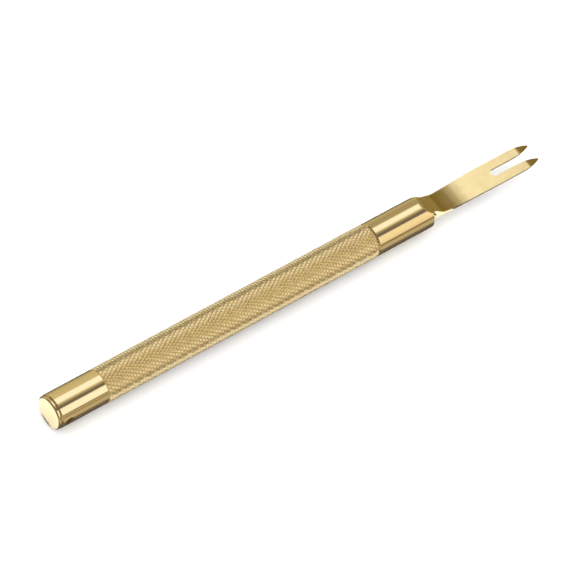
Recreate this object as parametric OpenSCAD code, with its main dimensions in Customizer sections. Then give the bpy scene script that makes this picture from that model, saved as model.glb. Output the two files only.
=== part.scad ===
// Spring bar tool: a knurled brass handle with a screw-in fork at the front and,
// under a push-on cap at the rear, a fine steel pin.
// The tool lies along X with its fork towards +X. Its handle rests on z = 0.

/* [Grip] */
// Diameter over the crests of the knurl
grip_d = 8.0; // [6:0.1:12]
// Length of the knurled part
grip_len = 72.2; // [40:0.2:120]
// Flats around the grip, on which it comes to rest; the real one is round
grip_sides = 12; // [12:4:48]
// Bevel on the two end corners of the grip
grip_bevel = 0.15; // [0.05:0.05:0.4]

/* [Fork head] */
// Diameter of the smooth collar
collar_d = 7.8; // [6:0.1:11]
// Collar length, from the grip to the top of the ramp
collar_len = 13.2; // [10:0.1:20]
// Whole length of the fork head, from the grip to the tips
fork_len = 47.2; // [42:0.1:60]
// Bevel on the collar's corner next to the grip
collar_bevel = 0.2; // [0.05:0.05:0.4]
// Angle of the ramps that lead down to the blade
ramp_angle = 29; // [18:1:40]
// Radius between a ramp and the root of the blade
ramp_r = 4; // [2:0.5:15]
// Slope of the blade's root, where it is still thinning
root_angle = 5; // [2:0.5:8]
// Radius over which the root runs out flat
root_r = 90; // [30:5:120]
// Thickness of the blade
blade_t = 0.5; // [0.4:0.05:1.2]
// Width of the blade across the tines
blade_w = 6.1; // [4.5:0.1:7]
// Width of the blade at its waist, next to the ramps
waist_w = 5.7; // [4:0.1:6.5]
// Distance from the ramp's top to the shoulder turned behind the blade
shoulder_gap = 2.1; // [1:0.1:5]
// Radius of the shoulder's fillet
shoulder_r = 3; // [1.5:0.1:5]
// Distance from the ramp's top to the cheek ground on the far side
cheek_gap = 0.2; // [0.1:0.1:3]
// Length of the ground cheek along the tool
cheek_len = 1.5; // [0.5:0.1:6]
// How much nearer to the axis the cheek ends than the waist does
cheek_depth = 0.75; // [0:0.05:1]
// Length over which the far edge then widens to the full blade
cheek_run = 16.7; // [6:0.1:17]

/* [Tines] */
// Width of the slot that takes the neck of a spring bar
slot_w = 1.8; // [1:0.1:2.5]
// Length of the slot, from its round end to the tips
slot_len = 12.3; // [8:0.1:18]
// Length of each pointed end
point_len = 5.0; // [3:0.1:8]
// Width left at each point
point_w = 0.3; // [0.1:0.05:0.6]
// Length of the bevel on top of each point
bevel_len = 3.4; // [2:0.1:6]
// Thickness left at the tips
tip_t = 0.25; // [0.1:0.05:0.4]

/* [Fork thread] */
// Outside diameter of the stud between fork head and grip
stud_d = 4.0; // [3:0.5:5]
// Length of stud in the grip, and as much again in the head
stud_reach = 7.0; // [4:0.5:9]
// Depth left beyond each end of the stud
stud_relief = 0.8; // [0.3:0.1:2]

/* [Rear cap] */
// Outside diameter of the cap
cap_d = 7.8; // [6:0.1:11]
// Length of the cap with its end plug
cap_len = 12.8; // [10:0.1:20]
// Wall of the cap
cap_wall = 1.2; // [0.8:0.05:1.6]
// Bevel on the cap's two ends
cap_bevel = 0.2; // [0.05:0.05:0.4]
// Diameter of the cross hole for a cord or ring
hole_d = 2.4; // [1.5:0.1:3]
// Distance from the rear face to the centre of the cross hole
hole_from_end = 2.7; // [2.6:0.1:5]

/* [End plug] */
// Diameter of the plug's flat outer face
face_d = 7.0; // [5:0.1:7.4]
// Diameter of the plug's rim
rim_d = 7.6; // [6:0.1:10]
// Length of the bevel between face and rim
face_bevel = 0.3; // [0.1:0.05:0.6]
// Length of the rim
rim_len = 0.3; // [0.15:0.05:0.6]
// Length of the bevel that makes the groove against the cap
groove_len = 0.25; // [0.1:0.05:0.4]
// Length of the plug's stem inside the cap
stem_len = 0.75; // [0.5:0.05:1.5]

/* [Pin] */
// Diameter of the steel pin
pin_d = 1.0; // [0.8:0.1:1.5]
// Diameter of the pin's turned-down tip
pin_tip_d = 0.8; // [0.5:0.05:1]
// Length of the turned-down tip
pin_tip_len = 3.0; // [2:0.5:5]
// Length of pin that stands out of its holder
pin_out = 3.5; // [3:0.1:6]
// Length of pin inside its holder
pin_in = 9.0; // [5:0.5:11]
// Length of the holder's spigot, which the cap pushes on to
spigot_len = 4.5; // [3:0.1:6]
// Outside diameter of the holder's threaded shank
shank_d = 5.0; // [3.5:0.5:6]
// Length of the holder's threaded shank
shank_len = 8.0; // [5:0.5:12]
// Depth left beyond the shank in the grip
shank_relief = 1.0; // [0.3:0.1:3]

/* [Fits] */
// Radial clearance of the threads, which are plain cylinders here
thread_gap = 0.03; // [0.01:0.01:0.1]
// Radial clearance of the cap on its spigot
slide_gap = 0.03; // [0.02:0.01:0.1]
// Radial clearance of the pressed-in pieces
press_gap = 0.01; // [0.005:0.005:0.02]
// Gap between the faces of pieces that seat on each other
seat_gap = 0.02; // [0.01:0.01:0.05]

/* [Hidden] */
$fn = 96;

eps = 0.01;
// How far the cutting shapes reach past what they cut
past = 1;

total_len = cap_len + grip_len + fork_len;
axis_z = grip_d / 2;
rear_x = -total_len / 2;
grip_x = rear_x + cap_len;
head_x = grip_x + grip_len;

flange_len = face_bevel + rim_len + groove_len;
cap_bore_d = cap_d - 2 * cap_wall;
spigot_d = cap_bore_d - 2 * slide_gap;

collar_r = collar_d / 2;
waist_r = waist_w / 2;
blade_r = blade_w / 2;
slot_end = fork_len - slot_len;
tine_w = (blade_w - slot_w) / 2;
tine_y = (blade_w + slot_w) / 4;
reach = total_len + 2 * past;

// Side view of the upper ramp, from its top down to the flat of the blade
root_drop = root_r * (1 - cos(root_angle));
root_run = root_r * sin(root_angle);
bend_drop = ramp_r * (cos(root_angle) - cos(ramp_angle));
bend_run = ramp_r * (sin(ramp_angle) - sin(root_angle));
bend_z = blade_t / 2 + root_drop + bend_drop;
bend_x = collar_len + (collar_r - bend_z) / tan(ramp_angle);
root_x = bend_x + bend_run;
flat_x = root_x + root_run;
arc_steps = 16;

// Plan view of the shoulder behind the blade
shoulder_x = collar_len + shoulder_gap;
shoulder_run = sqrt(pow(shoulder_r, 2) - pow(shoulder_r - (collar_r - waist_r), 2));
waist_x = shoulder_x + shoulder_run;
cheek_x = collar_len + cheek_gap;

// Points along the concave stretch from a to b degrees of slope, centred on c
function arc_points(c, r, a, b) =
    [for (i = [0 : arc_steps]) c - r * [sin(a + (b - a) * i / arc_steps), cos(a + (b - a) * i / arc_steps)]];

// A shape made about its own axis, laid along X with its start at the given place
module along_x(x) {
    translate([x, 0, axis_z]) rotate([0, 90, 0]) children();
}

// A solid of revolution laid along X, from [x, radius] points
module turned(points, x) {
    along_x(x) rotate_extrude() polygon([for (p = points) [p[1], p[0]]]);
}

// Cross-section of the grip, with its flats on a circle over the crests of the knurl
module knurl_outline() {
    corner_r = grip_d / 2 / cos(180 / grip_sides);
    polygon([for (i = [1 : grip_sides])
        let (a = 360 * (i - 0.5) / grip_sides)
        corner_r * [cos(a), sin(a)]]);
}

module grip() {
    grip_r = grip_d / 2;
    color("#cdbb74") difference() {
        intersection() {
            along_x(grip_x) linear_extrude(grip_len) knurl_outline();
            turned([
                [0, 0],
                [0, grip_r - grip_bevel],
                [grip_bevel + past, grip_r + past],
                [grip_len - grip_bevel - past, grip_r + past],
                [grip_len, grip_r - grip_bevel],
                [grip_len, 0]
            ], grip_x);
        }
        along_x(grip_x - past)
            cylinder(d = shank_d + 2 * thread_gap, h = past + shank_len + shank_relief);
        along_x(head_x - stud_reach - stud_relief)
            cylinder(d = stud_d + 2 * thread_gap, h = stud_reach + stud_relief + past);
    }
}

// What is left beside the cuts: collar, shoulder and the round bar the blade is milled from
module head_blank() {
    fillet = [for (i = [0 : arc_steps])
        let (x = shoulder_run * (1 - i / arc_steps))
        [waist_x - x, waist_r + shoulder_r - sqrt(pow(shoulder_r, 2) - pow(x, 2))]];
    turned(concat(
        [[seat_gap, 0], [seat_gap, collar_r - collar_bevel], [seat_gap + collar_bevel, collar_r]],
        fillet,
        [[slot_end, blade_r], [fork_len + past, blade_r], [fork_len + past, 0]]
    ), head_x);
}

// Side view of everything above the blade's top face, x along the tool and z up
module above_blade() {
    bend_centre = [root_x + ramp_r * sin(root_angle),
        blade_t / 2 + root_drop + ramp_r * cos(root_angle)];
    root_centre = [flat_x, blade_t / 2 + root_r];
    top = collar_r + past;
    polygon(concat(
        [[collar_len - past / tan(ramp_angle), top]],
        arc_points(bend_centre, ramp_r, ramp_angle, root_angle),
        arc_points(root_centre, root_r, root_angle, 0),
        [[fork_len - bevel_len, blade_t / 2],
         [fork_len + eps, tip_t - blade_t / 2],
         [fork_len + 2 * past, tip_t - blade_t / 2],
         [fork_len + 2 * past, top]]
    ));
}

// The same for the plain lower side of the blade
module below_blade() {
    bend_centre = [root_x + ramp_r * sin(root_angle),
        blade_t / 2 + root_drop + ramp_r * cos(root_angle)];
    root_centre = [flat_x, blade_t / 2 + root_r];
    bottom = collar_r + past;
    mirror([0, 1]) polygon(concat(
        [[collar_len - past / tan(ramp_angle), bottom]],
        arc_points(bend_centre, ramp_r, ramp_angle, root_angle),
        arc_points(root_centre, root_r, root_angle, 0),
        [[fork_len + 2 * past, blade_t / 2], [fork_len + 2 * past, bottom]]
    ));
}

// Plan view of one tine: straight sides that curve in to a narrow point
module tine_plan() {
    inset = (tine_w - point_w) / 2;
    steps = 12;
    function side(i) = [fork_len - point_len * (1 - i / steps),
        tine_w / 2 - inset * pow(i / steps, 2)];
    right = [for (i = [0 : steps]) side(i)];
    left = [for (i = [steps : -1 : 0]) [side(i)[0], -side(i)[1]]];
    polygon(concat([[slot_end, tine_w / 2]], right, left, [[slot_end, -tine_w / 2]]));
}

// Plan view of the whole head, y across the tool
module head_plan() {
    outer = collar_r + past;
    cheek_end = cheek_x + cheek_len;
    cheek_y = waist_r - cheek_depth;
    far_edge = [for (i = [0 : arc_steps])
        [cheek_end + cheek_run * i / arc_steps,
         blade_r - (blade_r - cheek_y) * pow(1 - i / arc_steps, 1.3)]];
    difference() {
        polygon([
            [-past, -outer],
            [-past, outer],
            [cheek_x, outer],
            [cheek_x, collar_r],
            each far_edge,
            [slot_end + slot_w / 2, blade_r],
            [slot_end + slot_w / 2, -blade_r],
            [slot_end, -blade_r],
            [slot_end, -outer]
        ]);
        translate([slot_end + slot_w / 2, 0]) circle(d = slot_w);
    }
    translate([0, tine_y]) tine_plan();
    translate([0, -tine_y]) tine_plan();
}

module fork_head() {
    color("#c9ab55") difference() {
        intersection() {
            head_blank();
            translate([head_x, 0, axis_z - reach / 2])
                linear_extrude(reach) head_plan();
        }
        translate([head_x, reach / 2, axis_z]) rotate([90, 0, 0])
            linear_extrude(reach) above_blade();
        translate([head_x, reach / 2, axis_z]) rotate([90, 0, 0])
            linear_extrude(reach) below_blade();
        along_x(head_x - past)
            cylinder(d = stud_d + 2 * thread_gap, h = past + stud_reach + stud_relief);
    }
}

module fork_stud() {
    bevel = 0.3;
    color("#b8963f") turned([
        [0, 0],
        [0, stud_d / 2 - bevel],
        [bevel, stud_d / 2],
        [2 * stud_reach - bevel, stud_d / 2],
        [2 * stud_reach, stud_d / 2 - bevel],
        [2 * stud_reach, 0]
    ], head_x - stud_reach);
}

// Spigot at the rear, threaded shank in the grip, and a bore for the pin
module pin_holder() {
    bevel = 0.3;
    color("#b8963f") difference() {
        turned([
            [-spigot_len, 0],
            [-spigot_len, spigot_d / 2 - bevel],
            [bevel - spigot_len, spigot_d / 2],
            [0, spigot_d / 2],
            [0, shank_d / 2],
            [shank_len - bevel, shank_d / 2],
            [shank_len, shank_d / 2 - bevel],
            [shank_len, 0]
        ], grip_x);
        along_x(grip_x - spigot_len - past)
            cylinder(d = pin_d + 2 * press_gap, h = past + pin_in);
    }
}

module push_pin() {
    step = 0.2;
    round_off = 0.1;
    color("silver") turned([
        [0, 0],
        [0, pin_tip_d / 2 - round_off],
        [round_off, pin_tip_d / 2],
        [pin_tip_len, pin_tip_d / 2],
        [pin_tip_len + step, pin_d / 2],
        [pin_out + pin_in, pin_d / 2],
        [pin_out + pin_in, 0]
    ], grip_x - spigot_len - pin_out);
}

module rear_cap() {
    mouth = cap_len - seat_gap;
    color("#c9ab55") difference() {
        turned([
            [flange_len, cap_bore_d / 2],
            [flange_len, cap_d / 2 - cap_bevel],
            [flange_len + cap_bevel, cap_d / 2],
            [mouth - cap_bevel, cap_d / 2],
            [mouth, cap_d / 2 - cap_bevel],
            [mouth, cap_bore_d / 2]
        ], rear_x);
        translate([rear_x + hole_from_end, 0, axis_z]) rotate([90, 0, 0])
            cylinder(d = hole_d, h = reach, center = true);
    }
}

module end_plug() {
    color("#d6bc6a") turned([
        [0, 0],
        [0, face_d / 2],
        [face_bevel, rim_d / 2],
        [face_bevel + rim_len, rim_d / 2],
        [flange_len, face_d / 2],
        [flange_len, cap_bore_d / 2 - press_gap],
        [flange_len + stem_len, cap_bore_d / 2 - press_gap],
        [flange_len + stem_len, 0]
    ], rear_x);
}

grip();
fork_head();
fork_stud();
pin_holder();
push_pin();
rear_cap();
end_plug();
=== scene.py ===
import math

import bmesh
import bpy
from bpy.props import FloatProperty, FloatVectorProperty, IntProperty, PointerProperty
from bpy.types import Operator, Panel, PropertyGroup
from mathutils import Matrix, Vector, noise


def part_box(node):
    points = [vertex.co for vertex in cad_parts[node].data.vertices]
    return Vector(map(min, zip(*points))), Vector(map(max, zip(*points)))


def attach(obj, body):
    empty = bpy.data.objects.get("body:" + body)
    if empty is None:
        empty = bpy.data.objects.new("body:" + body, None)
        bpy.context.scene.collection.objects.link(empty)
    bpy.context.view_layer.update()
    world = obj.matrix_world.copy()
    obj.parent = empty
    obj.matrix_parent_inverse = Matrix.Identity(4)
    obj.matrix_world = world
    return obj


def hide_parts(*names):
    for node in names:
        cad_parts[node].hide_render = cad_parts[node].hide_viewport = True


bl_info = {
    "name": "Spring Bar Tool",
    "version": (1, 0, 0),
    "blender": (4, 5, 0),
    "location": "3D View > Sidebar > Spring Bar Tool",
    "description": "Builds a knurled brass spring bar tool around its packed CAD frame",
    "category": "Object",
}

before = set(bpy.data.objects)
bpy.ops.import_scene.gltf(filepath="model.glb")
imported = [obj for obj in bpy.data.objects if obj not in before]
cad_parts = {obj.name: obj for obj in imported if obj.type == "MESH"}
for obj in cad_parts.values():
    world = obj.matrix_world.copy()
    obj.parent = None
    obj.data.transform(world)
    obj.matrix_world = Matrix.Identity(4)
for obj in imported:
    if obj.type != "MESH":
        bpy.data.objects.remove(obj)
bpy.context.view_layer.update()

MM = 0.001
# Vertices closer than this are one vertex
WELD = 1e-7
# Points closer than this to a plane lie in it
ON_PLANE = 1e-6
# Facets around a turned surface, and around one that is cut afterwards
ROUND, FINE_ROUND = 160, 192
# The blind holes in the grip's two ends, the stud's also in the fork head: depth and radius
HOLDER_HOLE = 9 * MM, 2.52 * MM
STUD_HOLE = 7.8 * MM, 2.03 * MM
# The colour output of a mix node
MIXED = 2


def middle_height(node):
    low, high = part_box(node)
    return (low.z + high.z) / 2


# The tool's axis runs along X at this height, through y = 0
AXIS_Z = middle_height("grip")
GRIP_START, GRIP_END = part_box("grip")[0].x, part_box("grip")[1].x
GRIP_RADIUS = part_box("grip")[1].z - AXIS_Z


def hex_colour(text):
    """An sRGB hex colour as linear RGBA."""
    values = [int(text[i:i + 2], 16) / 255 for i in (1, 3, 5)]
    linear = [v / 12.92 if v <= 0.04045 else ((v + 0.055) / 1.055) ** 2.4 for v in values]
    return (*linear, 1.0)


# ---------------------------------------------------------------- settings

class KnurlSettings(PropertyGroup):
    around: IntProperty(
        name="Ridges around", description="Ridges of each hand around the grip",
        default=30, min=12, max=80)
    pitch: FloatProperty(
        name="Pitch along", description="Distance between two crests along the grip, mm",
        default=1.42, min=0.4, max=4)
    depth: FloatProperty(
        name="Depth", description="Depth of the grooves, mm", default=0.42, min=0.02, max=0.6)
    flat: FloatProperty(
        name="Flat", description="Share of each pyramid that is left flat on top",
        default=0.12, min=0.02, max=0.6, subtype="FACTOR")
    second: FloatProperty(
        name="Shallow second groove", description="How much shallower every other groove is",
        default=0.08, min=0, max=0.9, subtype="FACTOR")


class ForkSettings(PropertyGroup):
    collar_len: FloatProperty(
        name="Collar length", description="From the grip to the ramp's top, mm", default=13.2)
    ramp_angle: FloatProperty(
        name="Ramp angle", description="Slope of the two ramps", default=math.radians(29), subtype="ANGLE")
    ramp_radius: FloatProperty(name="Ramp radius", description="From ramp to blade root, mm", default=4)
    root_angle: FloatProperty(
        name="Root angle", description="Slope of the blade's root", default=math.radians(5), subtype="ANGLE")
    root_radius: FloatProperty(name="Root radius", description="Over which the root runs out, mm", default=90)
    blade_t: FloatProperty(name="Blade thickness", description="Thickness of the blade, mm", default=0.5)
    blade_w: FloatProperty(name="Blade width", description="Width across the tines, mm", default=6.1)
    waist_w: FloatProperty(name="Waist width", description="Width next to the ramps, mm", default=5.7)
    shoulder_gap: FloatProperty(
        name="Shoulder", description="From ramp's top to turned shoulder, mm", default=2.1)
    shoulder_radius: FloatProperty(
        name="Shoulder radius", description="Fillet of the shoulder, mm", default=3)
    cheek_gap: FloatProperty(
        name="Cheek", description="From ramp's top to the ground cheek, mm", default=0.2)
    cheek_len: FloatProperty(name="Cheek length", description="Length of the cheek, mm", default=1.5)
    cheek_depth: FloatProperty(name="Cheek depth", description="Below the waist, mm", default=0.75)
    cheek_run: FloatProperty(
        name="Cheek run", description="Over which the far edge widens again, mm", default=16.7)
    slot_w: FloatProperty(name="Slot width", description="Width of the slot, mm", default=1.8)
    slot_len: FloatProperty(
        name="Slot length", description="From its round end to the tips, mm", default=12.3)
    point_len: FloatProperty(name="Point length", description="Length of each pointed end, mm", default=5.0)
    point_w: FloatProperty(name="Point width", description="Width left at each point, mm", default=0.3)
    bevel_len: FloatProperty(
        name="Bevel length", description="Bevel on top of each point, mm", default=3.4)
    tip_t: FloatProperty(name="Tip thickness", description="Thickness left at the tips, mm", default=0.25)


class BrassSettings(PropertyGroup):
    polished: FloatVectorProperty(
        name="Polished brass", description="Colour of the polished parts", subtype="COLOR",
        size=4, min=0, max=1, default=hex_colour("#F6E2AC"))
    knurled: FloatVectorProperty(
        name="Knurled brass", description="Colour of the grip", subtype="COLOR",
        size=4, min=0, max=1, default=hex_colour("#FBEBB4"))
    steel: FloatVectorProperty(
        name="Steel", description="Colour of the pin", subtype="COLOR",
        size=4, min=0, max=1, default=hex_colour("#C9CBCE"))
    roughness: FloatProperty(
        name="Polish", description="Roughness of the polished brass", default=0.08,
        min=0.02, max=0.6, subtype="FACTOR")


class StageSettings(PropertyGroup):
    floor: FloatVectorProperty(
        name="Floor", description="Colour of the floor", subtype="COLOR",
        size=4, min=0, max=1, default=hex_colour("#F4F4F3"))
    light: FloatProperty(
        name="Light", description="Brightness of the light tent as metal sees it",
        default=1.12, min=0, max=10)
    softbox: FloatProperty(
        name="Softbox", description="Brightness of the overhead softbox", default=0.2, min=0, max=10)
    ambient: FloatProperty(
        name="Ambient", description="Brightness of the white surroundings",
        default=1.6, min=0, max=5)


# ---------------------------------------------------------------- modelling

def turned(bm, profile, segments=ROUND):
    """Spins an outline of (x, radius) points in metres once round the tool's axis."""
    points = [bm.verts.new((x, 0, AXIS_Z + r)) for x, r in profile]
    edges = [bm.edges.new(pair) for pair in zip(points, points[1:])]
    bmesh.ops.spin(
        bm, geom=points + edges, cent=(0, 0, AXIS_Z), axis=(1, 0, 0), dvec=(0, 0, 0),
        angle=2 * math.pi, steps=segments, use_merge=True)
    bmesh.ops.remove_doubles(bm, verts=bm.verts, dist=WELD)
    bmesh.ops.recalc_face_normals(bm, faces=bm.faces)


def round_edges(bm, width, sharper_than=30, segments=2, where=None):
    """Bevels the edges that are sharper than an angle in degrees."""
    limit = math.radians(sharper_than)
    edges = [e for e in bm.edges if len(e.link_faces) == 2 and e.calc_face_angle() > limit
             and (where is None or where(e))]
    bmesh.ops.bevel(
        bm, geom=edges, offset=width, offset_type="OFFSET", affect="EDGES", segments=segments,
        profile=0.5, material=-1, clamp_overlap=True)


def prism(outline, depth, to_world):
    """A solid from a flat outline of (u, v) points, drawn out by depth both ways and placed by to_world."""
    bm = bmesh.new()
    face = bm.faces.new([bm.verts.new(to_world(u, v, -depth)) for u, v in outline])
    drawn = bmesh.ops.extrude_face_region(bm, geom=[face])
    moved = [g for g in drawn["geom"] if isinstance(g, bmesh.types.BMVert)]
    way = to_world(0, 0, depth) - to_world(0, 0, -depth)
    bmesh.ops.translate(bm, verts=moved, vec=way)
    bmesh.ops.recalc_face_normals(bm, faces=bm.faces)
    return bm


def cylinder(radius, length, matrix, segments=64):
    """A round bar around the matrix's Z axis, centred on its origin."""
    bm = bmesh.new()
    bmesh.ops.create_cone(
        bm, cap_ends=True, segments=segments, radius1=radius, radius2=radius, depth=length, matrix=matrix)
    return bm


def cut_across(bm, places):
    """Adds edges across the tool, so that shading on long faces stays true."""
    for x in places:
        bmesh.ops.bisect_plane(
            bm, geom=bm.verts[:] + bm.edges[:] + bm.faces[:], dist=WELD,
            plane_co=(x, 0, 0), plane_no=(1, 0, 0))


def cut_off(bm, x, way):
    """Cuts away all that lies beyond x, towards +X for way 1, and returns the edges of the open end."""
    bmesh.ops.bisect_plane(
        bm, geom=bm.verts[:] + bm.edges[:] + bm.faces[:], dist=WELD,
        plane_co=(x, 0, 0), plane_no=(way, 0, 0), clear_outer=True)
    return [e for e in bm.edges if e.is_boundary and all(abs(v.co.x - x) < ON_PLANE for v in e.verts)]


def plain_object(name, bm):
    """Turns a bmesh into an object, and uses it up."""
    mesh = bpy.data.meshes.new(name)
    bm.to_mesh(mesh)
    bm.free()
    made = bpy.data.objects.new(name, mesh)
    bpy.context.scene.collection.objects.link(made)
    return made


def combine(bm, *tools):
    """Applies (operation, bmesh) tools to a solid in turn and returns the result. The tools are used up."""
    body = plain_object("blank", bm)
    others = []
    for operation, tool in tools:
        other = plain_object("tool", tool)
        others.append(other)
        step = body.modifiers.new("cut", "BOOLEAN")
        step.object = other
        step.operation = operation
        step.solver = "EXACT"
    bpy.context.view_layer.update()
    result = bmesh.new()
    result.from_object(body, bpy.context.evaluated_depsgraph_get())
    for used in [body, *others]:
        mesh = used.data
        bpy.data.objects.remove(used)
        bpy.data.meshes.remove(mesh)
    bmesh.ops.remove_doubles(result, verts=result.verts, dist=WELD)
    bmesh.ops.dissolve_limit(
        result, angle_limit=math.radians(0.3), verts=result.verts, edges=result.edges)
    if len(result.faces) < 8:
        raise RuntimeError("a cut left nothing of its solid")
    return result


def finish_piece(name, bm, materials, body, node, sharp=35, corner=0):
    """Turns a bmesh into a finished piece that stands for one CAD node and rides on its body. Edges sharper
    than so many degrees stay sharp, and a corner width in mm breaks them."""
    bmesh.ops.recalc_face_normals(bm, faces=bm.faces)
    limit = math.radians(sharp)
    for face in bm.faces:
        face.smooth = True
    for edge in bm.edges:
        edge.smooth = len(edge.link_faces) == 2 and edge.calc_face_angle() < limit
    piece = plain_object(name, bm)
    for material in materials:
        piece.data.materials.append(material)
    if corner:
        corners = piece.modifiers.new("broken_corners", "BEVEL")
        corners.width = corner * MM
        corners.segments = 2
        corners.limit_method = "ANGLE"
        corners.angle_limit = math.radians(25)
    even = piece.modifiers.new("even_shading", "WEIGHTED_NORMAL")
    even.keep_sharp = True
    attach(piece, body)
    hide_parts(node)
    return piece


# ---------------------------------------------------------------- materials

def add_node(tree, kind, settings=None, links=None):
    """Adds a shader node, sets its settings and input values, and links its inputs to (node, output)
    pairs."""
    node = tree.nodes.new(kind)
    for key, value in (settings or {}).items():
        if isinstance(key, int) or key in node.inputs:
            node.inputs[key].default_value = value
        else:
            setattr(node, key, value)
    for key, (source, output) in (links or {}).items():
        tree.links.new(source.outputs[output], node.inputs[key])
    return node


def new_material(name):
    """An empty material, its node tree and its output node."""
    if name in bpy.data.materials:
        return bpy.data.materials[name], None, None
    material = bpy.data.materials.new(name)
    material.use_nodes = True
    tree = material.node_tree
    tree.nodes.clear()
    return material, tree, add_node(tree, "ShaderNodeOutputMaterial")


def polished_brass():
    """Brass, turned and buffed: a clear mirror with faint lathe rings that draw each reflection out a
    little."""
    material, tree, output = new_material("polished_brass")
    if tree is None:
        return material
    brass = bpy.context.scene.tool_brass
    place = add_node(tree, "ShaderNodeTexCoord")
    # 0.08 mm lathe rings, coarser than real so that they show
    rings = add_node(
        tree, "ShaderNodeMapping", {"Scale": (1 / (0.08 * MM), 40, 40)}, {"Vector": (place, "Object")})
    ring_noise = add_node(
        tree, "ShaderNodeTexNoise", {"Scale": 1.0, "Detail": 2.0}, {"Vector": (rings, "Vector")})
    # 3 mm cloudy patches of finger marks
    cloud = add_node(
        tree, "ShaderNodeTexNoise", {"Scale": 1 / (3 * MM), "Detail": 3.0}, {"Vector": (place, "Object")})
    rough = add_node(
        tree, "ShaderNodeMapRange",
        {"To Min": brass.roughness * 0.75, "To Max": brass.roughness * 1.35}, {"Value": (cloud, "Fac")})
    bump = add_node(
        tree, "ShaderNodeBump", {"Strength": 0.02, "Distance": 0.02 * MM}, {"Height": (ring_noise, "Fac")})
    shader = add_node(
        tree, "ShaderNodeBsdfPrincipled", {"Base Color": tuple(brass.polished), "Metallic": 1.0},
        {"Roughness": (rough, "Result"), "Normal": (bump, "Normal")})
    tree.links.new(shader.outputs["BSDF"], output.inputs["Surface"])
    return material


def satin_brass():
    """Brass, ground along the blade and dulled by handling: soft reflections with fine streaks along the
    tool."""
    material, tree, output = new_material("satin_brass")
    if tree is None:
        return material
    brass = bpy.context.scene.tool_brass
    place = add_node(tree, "ShaderNodeTexCoord")
    # 0.1 mm grinding lines along the blade
    across = 1 / (0.1 * MM)
    along = add_node(
        tree, "ShaderNodeMapping", {"Scale": (300, across, across)}, {"Vector": (place, "Object")})
    lines = add_node(tree, "ShaderNodeTexNoise", {"Scale": 1.0, "Detail": 3.0}, {"Vector": (along, "Vector")})
    # 1.5 mm mottling of handled brass
    mottle = add_node(
        tree, "ShaderNodeTexNoise", {"Scale": 1 / (1.5 * MM), "Detail": 4.0}, {"Vector": (place, "Object")})
    base = tuple(brass.polished)
    # Tarnish takes more blue than red
    aged = (*(part * kept for part, kept in zip(base, (0.93, 0.9, 0.84))), 1.0)
    colour = add_node(
        tree, "ShaderNodeMix", {"data_type": "RGBA", "A": base, "B": aged}, {"Factor": (mottle, "Fac")})
    rough = add_node(
        tree, "ShaderNodeMapRange", {"To Min": 0.08, "To Max": 0.17}, {"Value": (mottle, "Fac")})
    bump = add_node(
        tree, "ShaderNodeBump", {"Strength": 0.05, "Distance": 0.02 * MM}, {"Height": (lines, "Fac")})
    shader = add_node(
        tree, "ShaderNodeBsdfPrincipled", {"Metallic": 1.0},
        {"Base Color": (colour, MIXED), "Roughness": (rough, "Result"), "Normal": (bump, "Normal")})
    tree.links.new(shader.outputs["BSDF"], output.inputs["Surface"])
    return material


def knurled_brass():
    """Brass, rolled between knurling wheels: small bright facets, its colour darker deep in the grooves."""
    material, tree, output = new_material("knurled_brass")
    if tree is None:
        return material
    brass = bpy.context.scene.tool_brass
    knurl = bpy.context.scene.tool_knurl
    place = add_node(tree, "ShaderNodeTexCoord")
    # 0.25 mm patches, worn brighter or duller
    grain = add_node(
        tree, "ShaderNodeTexNoise", {"Scale": 1 / (0.25 * MM), "Detail": 3.0}, {"Vector": (place, "Object")})
    rough = add_node(
        tree, "ShaderNodeMapRange", {"To Min": 0.05, "To Max": 0.18}, {"Value": (grain, "Fac")})
    across = add_node(
        tree, "ShaderNodeVectorMath", {"operation": "MULTIPLY_ADD", 1: (0, 1, 1), 2: (0, 0, -AXIS_Z)},
        {0: (place, "Object")})
    radius = add_node(tree, "ShaderNodeVectorMath", {"operation": "LENGTH"}, {0: (across, "Vector")})
    height = add_node(
        tree, "ShaderNodeMapRange",
        {"From Min": GRIP_RADIUS - knurl.depth * MM, "From Max": GRIP_RADIUS - 0.25 * knurl.depth * MM},
        {"Value": (radius, "Value")})
    # Colour darker towards the roots of the grooves, by distance from the axis
    deep_groove_tone = hex_colour("#4A3814")
    colour = add_node(
        tree, "ShaderNodeMix", {"data_type": "RGBA", "A": deep_groove_tone, "B": tuple(brass.knurled)},
        {"Factor": (height, "Result")})
    shader = add_node(
        tree, "ShaderNodeBsdfPrincipled", {"Metallic": 1.0},
        {"Base Color": (colour, MIXED), "Roughness": (rough, "Result")})
    tree.links.new(shader.outputs["BSDF"], output.inputs["Surface"])
    return material


def threaded_brass():
    """Brass, cut by a die: bright but torn a little, so reflections break up."""
    material, tree, output = new_material("threaded_brass")
    if tree is None:
        return material
    brass = bpy.context.scene.tool_brass
    place = add_node(tree, "ShaderNodeTexCoord")
    grain = add_node(
        tree, "ShaderNodeTexNoise", {"Scale": 1 / (0.15 * MM), "Detail": 3.0}, {"Vector": (place, "Object")})
    rough = add_node(
        tree, "ShaderNodeMapRange", {"To Min": 0.2, "To Max": 0.4}, {"Value": (grain, "Fac")})
    shader = add_node(
        tree, "ShaderNodeBsdfPrincipled", {"Base Color": tuple(brass.polished), "Metallic": 1.0},
        {"Roughness": (rough, "Result")})
    tree.links.new(shader.outputs["BSDF"], output.inputs["Surface"])
    return material


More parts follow.
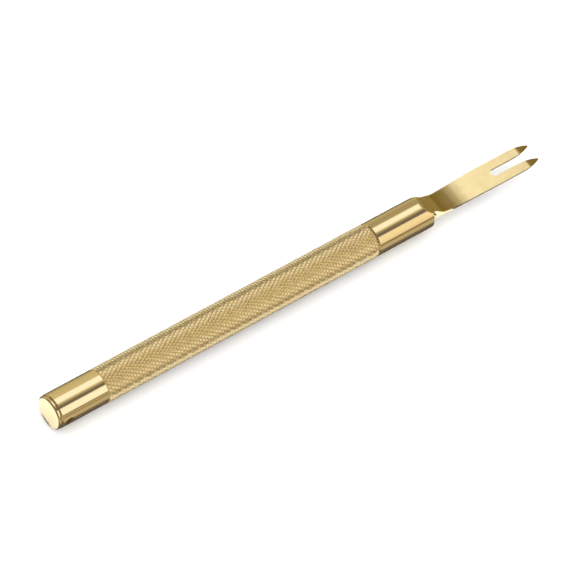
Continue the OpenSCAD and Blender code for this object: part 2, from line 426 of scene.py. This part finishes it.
def ground_steel():
    """Hardened steel, centreless ground: a grey sheen with fine rings round the pin."""
    material, tree, output = new_material("ground_steel")
    if tree is None:
        return material
    brass = bpy.context.scene.tool_brass
    place = add_node(tree, "ShaderNodeTexCoord")
    # 0.05 mm grinding rings
    rings = add_node(
        tree, "ShaderNodeMapping", {"Scale": (1 / (0.05 * MM), 60, 60)}, {"Vector": (place, "Object")})
    lines = add_node(tree, "ShaderNodeTexNoise", {"Scale": 1.0, "Detail": 2.0}, {"Vector": (rings, "Vector")})
    rough = add_node(tree, "ShaderNodeMapRange", {"To Min": 0.18, "To Max": 0.35}, {"Value": (lines, "Fac")})
    bump = add_node(
        tree, "ShaderNodeBump", {"Strength": 0.05, "Distance": 0.01 * MM}, {"Height": (lines, "Fac")})
    shader = add_node(
        tree, "ShaderNodeBsdfPrincipled", {"Base Color": tuple(brass.steel), "Metallic": 1.0},
        {"Roughness": (rough, "Result"), "Normal": (bump, "Normal")})
    tree.links.new(shader.outputs["BSDF"], output.inputs["Surface"])
    return material


# ---------------------------------------------------------------- pieces

class TOOL_OT_grip(Operator):
    """Build the knurled grip with its two tapped holes"""
    bl_idname = "tool.grip"
    bl_label = "Grip"

    def execute(self, context):
        knurl = context.scene.tool_knurl
        step = knurl.pitch * MM / 2
        # The outermost crossings lie beyond the ends, where the bar is cut to length
        rows = math.ceil((GRIP_END - GRIP_START) / step) + 2
        start = (GRIP_START + GRIP_END - rows * step) / 2
        columns = 2 * knurl.around
        root = GRIP_RADIUS - knurl.depth * MM
        # Height of a pyramid before its top is flattened
        apex = root + knurl.depth * MM / (1 - knurl.flat)

        bm = bmesh.new()
        line = [bm.verts.new((start + i * step, 0, AXIS_Z + root)) for i in range(rows + 1)]
        edges = [bm.edges.new(pair) for pair in zip(line, line[1:])]
        bmesh.ops.spin(
            bm, geom=line + edges, cent=(0, 0, AXIS_Z), axis=(1, 0, 0), dvec=(0, 0, 0),
            angle=2 * math.pi, steps=columns, use_merge=True)
        bmesh.ops.remove_doubles(bm, verts=bm.verts, dist=WELD)

        # Grooves cross at every other point, with a crest between
        crossings, crests = {}, []
        for v in bm.verts:
            row = round((v.co.x - start) / step)
            column = round(math.atan2(v.co.y, v.co.z - AXIS_Z) / math.pi * knurl.around) % columns
            if (row + column) % 2:
                crests.append(v)
            else:
                crossings[v] = row, column
        bmesh.ops.connect_verts(bm, verts=list(crossings))
        for v, (row, column) in crossings.items():
            shallow = ((row + column) // 2 % 2 + (row - column) // 2 % 2) / 2
            self.set_radius(v, root + shallow * knurl.second * knurl.depth * MM)
        for v in crests:
            # Rolled crests are never quite even: these wander over about a millimetre
            uneven = noise.noise(v.co * 0.9 / MM) * 0.14 - 0.08
            self.set_radius(v, apex + uneven * knurl.depth * MM)
        bmesh.ops.bevel(
            bm, geom=crests, offset=knurl.flat * 100, offset_type="PERCENT", affect="VERTICES",
            segments=1, profile=0.5, material=-1)
        # None stands above the bar that it was rolled in
        for v in bm.verts:
            if Vector((v.co.y, v.co.z - AXIS_Z)).length > GRIP_RADIUS:
                self.set_radius(v, GRIP_RADIUS)

        self.close_end(bm, GRIP_START, 1, *HOLDER_HOLE)
        self.close_end(bm, GRIP_END, -1, *STUD_HOLE)
        finish_piece("grip_knurled", bm, [knurled_brass()], "handle", "grip", sharp=12)
        return {"FINISHED"}

    @staticmethod
    def set_radius(v, radius):
        """Moves a vertex straight to or from the tool's axis."""
        across = Vector((0, v.co.y, v.co.z - AXIS_Z)).normalized() * radius
        v.co = (v.co.x, across.y, AXIS_Z + across.z)

    @staticmethod
    def close_end(bm, x, inward, depth, bore):
        """Cuts the knurl off square, breaks its corner and runs on down a blind hole."""
        corner = 0.15 * MM
        rim = cut_off(bm, x + inward * corner, -inward)
        # Outer face corner, mouth of the hole, bottom of the hole
        for new_x, radius in ((x, None), (x, bore), (x + inward * depth, bore)):
            drawn = bmesh.ops.extrude_edge_only(bm, edges=rim)["geom"]
            rim = [g for g in drawn if isinstance(g, bmesh.types.BMEdge)]
            for v in [g for g in drawn if isinstance(g, bmesh.types.BMVert)]:
                across = Vector((0, v.co.y, v.co.z - AXIS_Z))
                size = across.length - corner if radius is None else radius
                across = across.normalized() * size
                v.co = (new_x, across.y, AXIS_Z + across.z)
        bmesh.ops.edgeloop_fill(bm, edges=rim)


def head_length():
    """From the grip's end face to the tips, in mm."""
    return (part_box("fork_head")[1].x - GRIP_END) / MM


def collar_radius():
    """In mm."""
    return (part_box("fork_head")[1].z - AXIS_Z) / MM


def side_outline(fork, sign):
    """Side view of what is cut away above (sign 1) or below (sign -1) the blade, as (x, z) from the head's
    start."""
    half, steps = fork.blade_t / 2, 20
    root_z = half + fork.root_radius * (1 - math.cos(fork.root_angle))
    bend_z = root_z + fork.ramp_radius * (math.cos(fork.root_angle) - math.cos(fork.ramp_angle))
    collar_r = collar_radius()
    bend_x = fork.collar_len + (collar_r - bend_z) / math.tan(fork.ramp_angle)
    root_x = bend_x + fork.ramp_radius * (math.sin(fork.ramp_angle) - math.sin(fork.root_angle))
    flat_x = root_x + fork.root_radius * math.sin(fork.root_angle)
    length = head_length()

    # Lines run past the solid by this much, so that each cut is clean
    past = 2

    def arc(centre_x, centre_z, radius, a, b):
        angles = [a + (b - a) * i / steps for i in range(steps + 1)]
        return [(centre_x - radius * math.sin(t), centre_z - radius * math.cos(t)) for t in angles]

    bend_centre = (root_x + fork.ramp_radius * math.sin(fork.root_angle),
                   root_z + fork.ramp_radius * math.cos(fork.root_angle))
    points = [(fork.collar_len - 1 / math.tan(fork.ramp_angle), collar_r + 1)]
    points += arc(*bend_centre, fork.ramp_radius, fork.ramp_angle, fork.root_angle)[:-1]
    points += arc(flat_x, half + fork.root_radius, fork.root_radius, fork.root_angle, 0)
    if sign > 0:
        drop = fork.blade_t - fork.tip_t
        points += [(length - fork.bevel_len * (1 - i / 12), half - drop * (i / 12) ** 1.6)
                   for i in range(13)]
        points += [(length + past, fork.tip_t - half)]
    else:
        points += [(length + past, half)]
    points += [(length + past, collar_r + 1)]
    return [(x * MM, sign * z * MM) for x, z in points]


def plan_outline(fork):
    """Plan view of the blade with its slot and two points, as (x, y) from the head's start."""
    collar_r, length = collar_radius(), head_length()
    # Clear of the collar
    outer = collar_r + 1
    slot_end = length - fork.slot_len
    half, slot_r = fork.blade_w / 2, fork.slot_w / 2
    tine = half - slot_r
    middle = (half + slot_r) / 2
    inset = (tine - fork.point_w) / 2
    cheek_x = fork.collar_len + fork.cheek_gap
    cheek_end, cheek_y = cheek_x + fork.cheek_len, fork.waist_w / 2 - fork.cheek_depth
    # Behind the cheek the far edge widens again, quickly at first
    far_edge = [(cheek_end + fork.cheek_run * i / 16, half - (half - cheek_y) * (1 - i / 16) ** 1.3)
                for i in range(17)]
    steps = 14

    def side(i):
        share = i / steps
        return length - fork.point_len * (1 - share), tine / 2 - inset * share ** 2

    sides = [side(i) for i in range(steps + 1)]
    upper = [(x, middle + y) for x, y in sides] + [(x, middle - y) for x, y in reversed(sides)]
    lower = [(x, -y) for x, y in reversed(upper)]
    bottom = [(slot_end + slot_r * (1 - math.sin(t)), slot_r * math.cos(t))
              for t in [math.pi * i / 24 for i in range(25)]]
    # On the near side the blank's own round side bounds the blade
    outline = [(-1, -outer), (-1, outer), (cheek_x, outer), (cheek_x, collar_r), *far_edge,
               *upper, *bottom, *lower, (slot_end, -half), (slot_end, -outer)]
    return [(x * MM, y * MM) for x, y in outline]


class TOOL_OT_fork(Operator):
    """Build the fork head: collar, ramps, blade, slot and two points"""
    bl_idname = "tool.fork"
    bl_label = "Fork head"

    def execute(self, context):
        fork = context.scene.tool_fork
        low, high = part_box("fork_head")
        start = low.x
        # The head seats on the grip, whose end face is here
        seat = GRIP_END
        collar, waist, half = high.z - AXIS_Z, fork.waist_w / 2 * MM, fork.blade_w / 2 * MM
        radius = fork.shoulder_radius * MM
        shoulder = seat + (fork.collar_len + fork.shoulder_gap) * MM
        run = math.sqrt(radius ** 2 - (radius - (collar - waist)) ** 2)
        length = head_length() * MM
        slot_end = seat + length - fork.slot_len * MM
        steps = 20
        fillet = []
        for i in range(steps + 1):
            x = run * (1 - i / steps)
            fillet.append((shoulder + run - x, waist + radius - math.sqrt(radius ** 2 - x ** 2)))
        corner = 0.2 * MM
        blank = bmesh.new()
        turned(blank, [(start, 0), (start, collar - corner), (start + corner, collar), *fillet,
                       (slot_end, half), (seat + length + MM, half), (seat + length + MM, 0)], FINE_ROUND)

        def side_on(u, v, w):
            return Vector((seat + u, w, AXIS_Z + v))

        def plan_on(u, v, w):
            return Vector((seat + u, v, AXIS_Z + w))

        # Half as wide again as the collar, either way
        reach = 6 * MM
        depth, bore = STUD_HOLE
        drill = Matrix.Translation((start, 0, AXIS_Z)) @ Matrix.Rotation(math.pi / 2, 4, "Y")
        head = combine(
            blank,
            ("DIFFERENCE", prism(side_outline(fork, 1), reach, side_on)),
            ("DIFFERENCE", prism(side_outline(fork, -1), reach, side_on)),
            ("INTERSECT", prism(plan_outline(fork), reach, plan_on)),
            ("DIFFERENCE", cylinder(bore, 2 * depth, drill)))
        cut_across(head, [seat + (2 + 2 * i) * MM for i in range(8)])
        # The ramps and the blade are ground, and all else is polished
        ground_from, ground_within = seat + (fork.collar_len + 0.2) * MM, 3.2 * MM
        for face in head.faces:
            middle = face.calc_center_median()
            level = abs(face.normal.z) > 0.85 and abs(middle.z - AXIS_Z) < ground_within
            face.material_index = 1 if level and middle.x > ground_from else 0
        finish_piece("fork_head_forged", head, [polished_brass(), satin_brass()], "fork",
                     "fork_head", sharp=15, corner=0.05)
        return {"FINISHED"}


class TOOL_OT_cap(Operator):
    """Build the rear cap with its cross hole, and its end plug"""
    bl_idname = "tool.cap"
    bl_label = "Rear cap and end plug"

    def execute(self, context):
        low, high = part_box("rear_cap")
        plug_low, plug_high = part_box("end_plug")
        radius, bore, bevel = high.z - AXIS_Z, 2.7 * MM, 0.2 * MM
        hole_x, hole_radius = plug_low.x + 2.7 * MM, 1.2 * MM
        tube = bmesh.new()
        turned(tube, [
            (low.x, bore), (low.x, radius - bevel), (low.x + bevel, radius), (high.x - bevel, radius),
            (high.x, radius - bevel), (high.x, bore), (low.x, bore)], FINE_ROUND)
        drill = Matrix.Translation((hole_x, 0, AXIS_Z)) @ Matrix.Rotation(math.pi / 2, 4, "X")
        tube = combine(tube, ("DIFFERENCE", cylinder(hole_radius, 3 * radius, drill)))
        cut_across(tube, [hole_x + (2 + 2 * i) * MM for i in range(4)])
        finish_piece(
            "rear_cap_tube", tube, [polished_brass()], "cap", "rear_cap", corner=0.04)

        x, rim = plug_low.x, plug_high.z - AXIS_Z
        # The bevelled face, the bright land behind it, the groove next to the tube and the pressed-in stem
        bevel, land, groove, stem = 0.3 * MM, 0.3 * MM, 0.25 * MM, bore - 0.01 * MM
        seat = x + bevel + land + groove
        plug = bmesh.new()
        turned(plug, [
            (x, 0), (x, rim - bevel), (x + bevel, rim), (x + bevel + land, rim), (seat, rim - bevel),
            (seat, stem), (plug_high.x, stem), (plug_high.x, 0)])
        round_edges(plug, 0.03 * MM)
        finish_piece("end_plug_disc", plug, [polished_brass()], "cap", "end_plug")
        return {"FINISHED"}


def screw(start, end, radius, pitch):
    """A threaded rod along the tool's axis, from one pitch of thread outline swept round and along."""
    bm = bmesh.new()
    turns = math.ceil((end - start) / pitch) + 2
    depth, steps = 0.6 * pitch, 28
    first = start - pitch
    # A flat an eighth of the pitch wide at the root, between two flanks
    outline = [(0, 0), (0.4375, depth), (0.5625, depth), (1, 0)]
    points = [bm.verts.new((first + u * pitch, 0, AXIS_Z + radius - d)) for u, d in outline]
    edges = [bm.edges.new(pair) for pair in zip(points, points[1:])]
    bmesh.ops.spin(
        bm, geom=points + edges, cent=(0, 0, AXIS_Z), axis=(1, 0, 0), dvec=(pitch / steps, 0, 0),
        angle=2 * math.pi * turns, steps=steps * turns)
    bmesh.ops.remove_doubles(bm, verts=bm.verts, dist=WELD)
    for x, way in ((start, -1), (end, 1)):
        bmesh.ops.edgeloop_fill(bm, edges=cut_off(bm, x, way))
    bmesh.ops.recalc_face_normals(bm, faces=bm.faces)
    return bm


class TOOL_OT_screws(Operator):
    """Build the threaded stud of the fork head and the pin holder"""
    bl_idname = "tool.screws"
    bl_label = "Stud and pin holder"

    def execute(self, context):
        low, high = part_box("fork_stud")
        stud = screw(low.x, high.x, high.z - AXIS_Z, 0.7 * MM)
        finish_piece("fork_stud_threaded", stud, [threaded_brass()], "stud", "fork_stud")

        low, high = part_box("pin_holder")
        radius, bevel = high.z - AXIS_Z, 0.3 * MM
        shank_radius, core_radius, pin_hole = 2.5 * MM, 2 * MM, 0.51 * MM
        core_end = GRIP_START + 1 * MM
        spigot = bmesh.new()
        turned(spigot, [
            (low.x, 0), (low.x, radius - bevel), (low.x + bevel, radius), (GRIP_START, radius),
            (GRIP_START, core_radius), (core_end, core_radius), (core_end, 0)], segments=96)
        shank = screw(GRIP_START, high.x, shank_radius, 0.8 * MM)
        # 9 mm deep
        drill = Matrix.Translation((low.x, 0, AXIS_Z)) @ Matrix.Rotation(math.pi / 2, 4, "Y")
        holder = combine(spigot, ("UNION", shank), ("DIFFERENCE", cylinder(pin_hole, 18 * MM, drill, 48)))
        finish_piece("pin_holder_bush", holder, [threaded_brass()], "handle", "pin_holder")
        return {"FINISHED"}


class TOOL_OT_pin(Operator):
    """Build the steel push pin"""
    bl_idname = "tool.pin"
    bl_label = "Push pin"

    def execute(self, context):
        low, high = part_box("push_pin")
        x, radius = low.x, high.z - AXIS_Z
        tip_radius, tip_length, bevel = 0.4 * MM, 3 * MM, 0.1 * MM
        pin = bmesh.new()
        turned(pin, [
            (x, 0), (x, tip_radius - bevel), (x + bevel, tip_radius), (x + tip_length, tip_radius),
            (x + tip_length + 2 * bevel, radius), (high.x, radius), (high.x, 0)], segments=48)
        round_edges(pin, 0.02 * MM, sharper_than=20)
        finish_piece("push_pin_steel", pin, [ground_steel()], "handle", "push_pin")
        return {"FINISHED"}


# ---------------------------------------------------------------- stage

def plain_stage_object(name, bm, material):
    """A thing that stands round the tool and is no part of it."""
    made = plain_object(name, bm)
    made.data.materials.append(material)
    return made


# Tones of the light tent by angle round the tool, in degrees: 0 is level on the far side, 90 overhead and 180
# level on the near side. The tent differs towards the cap and towards the fork.
REAR_TONES = (
    (0, "#C6B88E"), (12, "#B7A87A"), (44, "#C6B88E"), (46, "#8E7F52"), (50, "#E8DFC8"),
    (55, "#FFFFFF"), (84, "#FFFFFF"), (90, "#CDBF98"), (100, "#8A7648"), (105, "#5A431A"),
    (108, "#2A1C06"), (120, "#2A1C06"), (123, "#E9DCBE"), (128, "#FFFFFF"), (160, "#FFFFFF"),
    (165, "#E9DCBE"), (168, "#6A5526"), (174, "#6A5526"), (178, "#C8B48C"), (180, "#C8B48C"),
)
FRONT_TONES = (
    (0, "#AD9E72"), (12, "#8E7F52"), (48, "#8E7F52"), (54, "#E8DFC8"), (57, "#FFFFFF"), (82, "#FFFFFF"),
    (90, "#D9CDA8"), (96, "#9A8A58"), (105, "#5A431A"), (109, "#2A1C06"), (122, "#2A1C06"), (126, "#F0DCC0"),
    (140, "#F6E4C8"), (172, "#E9D2AC"), (176, "#6A5526"), (180, "#6A5526"),
)
# Tones of the glowing card under the tool, seen only in the metal: painted contact shadow next to the tool,
# painted floor reflection beyond. -180 is level on the near side, -90 straight below the tool and 0 level on
# the far side
PAINTED_SHADOW_TONES = (
    (-180, "#6A5526"), (-176, "#6A5526"), (-172, "#B4A078"), (-161, "#A8977A"), (-155, "#33250D"),
    (-90, "#33250D"), (-17, "#33250D"), (-11, "#A6976A"), (0, "#A6976A"),
)


class TOOL_OT_stage(Operator):
    """Build the floor, the lights and what the metal mirrors, and the camera"""
    bl_idname = "tool.stage"
    bl_label = "Stage"

    def execute(self, context):
        stage = context.scene.tool_stage
        self.floor(stage)
        self.surroundings(stage)
        self.tent(stage)
        self.card(stage)
        self.softbox(stage)
        self.camera(context.scene)
        context.scene.view_settings.view_transform = "Standard"
        return {"FINISHED"}

    @staticmethod
    def floor(stage):
        """Pale matt board: plain white to the eye, with a faint soft shadow."""
        material, tree, output = new_material("matt_white_board")
        shader = add_node(
            tree, "ShaderNodeBsdfPrincipled", {"Base Color": tuple(stage.floor), "Roughness": 0.9})
        tree.links.new(shader.outputs["BSDF"], output.inputs["Surface"])
        bm = bmesh.new()
        # 8 m square
        bmesh.ops.create_grid(bm, x_segments=1, y_segments=1, size=4)
        plain_stage_object("floor", bm, material)

    @staticmethod
    def surroundings(stage):
        """White all round, which lights the floor."""
        world = bpy.data.worlds.new("studio")
        world.use_nodes = True
        background = world.node_tree.nodes["Background"]
        background.inputs["Color"].default_value = (1, 1, 1, 1)
        background.inputs["Strength"].default_value = stage.ambient
        bpy.context.scene.world = world

    @staticmethod
    def direction(tree):
        """Where a point lies as seen from the tool: the parts of its direction, and its angle round the
        tool."""
        place = add_node(tree, "ShaderNodeTexCoord")
        from_axis = add_node(
            tree, "ShaderNodeVectorMath", {"operation": "SUBTRACT", 1: (0, 0, AXIS_Z)},
            {0: (place, "Object")})
        way = add_node(tree, "ShaderNodeVectorMath", {"operation": "NORMALIZE"}, {0: (from_axis, "Vector")})
        parts = add_node(tree, "ShaderNodeSeparateXYZ", links={"Vector": (way, "Vector")})
        angle = add_node(tree, "ShaderNodeMath", {"operation": "ARCTAN2"}, {0: (parts, "Z"), 1: (parts, "Y")})
        return parts, angle

    @staticmethod
    def bands(tree, angle, tones):
        """Colours that follow an angle."""
        first, last = tones[0][0], tones[-1][0]
        share = add_node(
            tree, "ShaderNodeMapRange", {"From Min": math.radians(first), "From Max": math.radians(last)},
            {"Value": (angle, "Value")})
        bands = add_node(tree, "ShaderNodeValToRGB", links={"Fac": (share, "Result")})
        stops = bands.color_ramp.elements
        stops[0].position, stops[1].position = 0, 1
        for degrees, _ in tones[1:-1]:
            stops.new((degrees - first) / (last - first))
        for stop, (_, tone) in zip(stops, tones):
            stop.color = hex_colour(tone)
        return bands

    @staticmethod
    def mirrored_only(name, bm, material):
        """A thing on the stage that nothing but the metal sees."""
        made = plain_stage_object(name, bm, material)
        made.visible_camera = False
        made.visible_diffuse = False
        made.visible_shadow = False

    @classmethod
    def tent(cls, stage):
        """Light tent with long strip lights beside the tool and gaps between them. Only the metal mirrors
        it: its smooth parts get crisp bright and dark stripes along the tool."""
        material, tree, output = new_material("light_tent")
        parts, angle = cls.direction(tree)
        rear, front = cls.bands(tree, angle, REAR_TONES), cls.bands(tree, angle, FRONT_TONES)
        forward = add_node(
            tree, "ShaderNodeMapRange", {"From Min": 0.41, "From Max": 0.465}, {"Value": (parts, "X")})
        sides = add_node(
            tree, "ShaderNodeMix", {"data_type": "RGBA"},
            {"Factor": (forward, "Result"), "A": (rear, "Color"), "B": (front, "Color")})
        # The strips end where the tent closes beyond the fork, but the near one runs on
        fork_end = add_node(
            tree, "ShaderNodeMapRange",
            {"interpolation_type": "SMOOTHSTEP", "From Min": 0.56, "From Max": 0.62},
            {"Value": (parts, "X")})
        far = add_node(
            tree, "ShaderNodeMapRange", {"From Min": -0.3, "From Max": -0.1}, {"Value": (parts, "Y")})
        both = add_node(
            tree, "ShaderNodeMath", {"operation": "MULTIPLY"}, {0: (fork_end, "Result"), 1: (far, "Result")})
        closing = add_node(
            tree, "ShaderNodeMix", {"data_type": "RGBA", "B": hex_colour("#7C6D40")},
            {"Factor": (both, "Value"), "A": (sides, MIXED)})
        # Beyond the cap it closes in a darker tone
        cap_end = add_node(
            tree, "ShaderNodeMapRange",
            {"interpolation_type": "SMOOTHSTEP", "From Min": -0.5, "From Max": -0.65},
            {"Value": (parts, "X")})
        tone = add_node(
            tree, "ShaderNodeMix", {"data_type": "RGBA", "B": hex_colour("#4A3C1C")},
            {"Factor": (cap_end, "Result"), "A": (closing, MIXED)})
        glow = add_node(tree, "ShaderNodeEmission", {"Strength": stage.light}, {"Color": (tone, MIXED)})
        tree.links.new(glow.outputs["Emission"], output.inputs["Surface"])
        bm = bmesh.new()
        bmesh.ops.create_icosphere(bm, subdivisions=5, radius=1)
        cls.mirrored_only("light_tent", bm, material)

    @classmethod
    def card(cls, stage):
        """Glowing card under the tool that only the metal mirrors: painted contact shadow, dark next to the
        tool, and painted tan floor reflection beyond. It draws the metal's lower edges.
        """
        material, tree, output = new_material("painted_shadow_card")
        parts, angle = cls.direction(tree)
        bands = cls.bands(tree, angle, PAINTED_SHADOW_TONES)
        # The card glows as painted shadow and painted floor reflection, as bright as the light tent
        glow = add_node(tree, "ShaderNodeEmission", {"Strength": stage.light}, {"Color": (bands, "Color")})
        tree.links.new(glow.outputs["Emission"], output.inputs["Surface"])
        bm = bmesh.new()
        # In mm: just in front of the cap's face, the end of the collar, and how far the card goes
        face, collar_end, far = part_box("end_plug")[0].x / MM - 0.2, 36.5, 800
        # Open in front of the cap's face and beside the fork's shoulder, which mirror the white floor there
        for outline in (
                ((face, 0), (far, 0), (far, far), (face, far)),
                ((face, -far), (530, -far), (collar_end, -4), (collar_end, 0), (face, 0)),
                ((-far, -far), (face, -far), (face, -3.6), (-far, -3.6)),
                ((-far, 7), (face, 7), (face, far), (-far, far)),
                ((43, -8), (70, -8), (70, 0), (43, 0))):
            bm.faces.new([bm.verts.new((x * MM, y * MM, 0.2 * MM)) for x, y in outline])
        cls.mirrored_only("painted_shadow_card", bm, material)

    @staticmethod
    def softbox(stage):
        """Large overhead softbox, for a little modelling on the floor."""
        data = bpy.data.lights.new("softbox", "AREA")
        data.shape = "RECTANGLE"
        data.size, data.size_y = 1.2, 1.0
        data.energy = stage.softbox * math.pi * data.size * data.size_y
        light = bpy.data.objects.new("softbox", data)
        light.location = (0, 0.2, 1.2)
        light.visible_camera = False
        light.visible_glossy = False
        bpy.context.scene.collection.objects.link(light)

    @staticmethod
    def camera(scene):
        """A long lens from above the rear end, turned so that the tool climbs to the upper right."""
        data = bpy.data.cameras.new("camera")
        data.sensor_width = 36
        data.lens = 214.25
        data.clip_start, data.clip_end = 0.01, 20
        right = Vector((0.7831271, -0.59213508, 0.18996839))
        up = Vector((0.42324543, 0.7313364, 0.53479938))
        back = Vector((-0.45560427, -0.33841263, 0.82334782))
        turn = Matrix((right, up, back)).transposed().to_4x4()
        # Where a point on the tool's axis near its middle lies as the camera sees it: right, up, away
        place = Vector((-0.15 * MM, 0, AXIS_Z)) + turn.to_3x3() @ Vector((-2.5708, -2.1917, 732.611)) * MM
        camera = bpy.data.objects.new("camera", data)
        camera.matrix_world = Matrix.Translation(place) @ turn
        scene.collection.objects.link(camera)
        scene.camera = camera


class TOOL_PT_panel(Panel):
    """Settings and buttons of the spring bar tool"""
    bl_idname = "TOOL_PT_panel"
    bl_label = "Spring Bar Tool"
    bl_space_type = "VIEW_3D"
    bl_region_type = "UI"
    bl_category = "Spring Bar Tool"

    def draw(self, context):
        for group in SETTINGS:
            box = self.layout.box()
            settings = getattr(context.scene, group)
            for name in settings.__annotations__:
                box.prop(settings, name)
        for operator in OPERATORS:
            self.layout.operator(operator.bl_idname)


SETTINGS = {
    "tool_knurl": KnurlSettings, "tool_fork": ForkSettings,
    "tool_brass": BrassSettings, "tool_stage": StageSettings,
}
OPERATORS = (TOOL_OT_grip, TOOL_OT_fork, TOOL_OT_cap, TOOL_OT_screws, TOOL_OT_pin, TOOL_OT_stage)


def register():
    for cls in (*SETTINGS.values(), *OPERATORS, TOOL_PT_panel):
        bpy.utils.register_class(cls)
    for name, cls in SETTINGS.items():
        setattr(bpy.types.Scene, name, PointerProperty(type=cls))


def unregister():
    for name in SETTINGS:
        delattr(bpy.types.Scene, name)
    for cls in reversed((*SETTINGS.values(), *OPERATORS, TOOL_PT_panel)):
        bpy.utils.unregister_class(cls)


def main():
    register()
    bpy.ops.tool.grip()
    bpy.ops.tool.fork()
    bpy.ops.tool.cap()
    bpy.ops.tool.screws()
    bpy.ops.tool.pin()
    bpy.ops.tool.stage()
    bpy.context.view_layer.update()


if __name__ == "__main__":
    main()
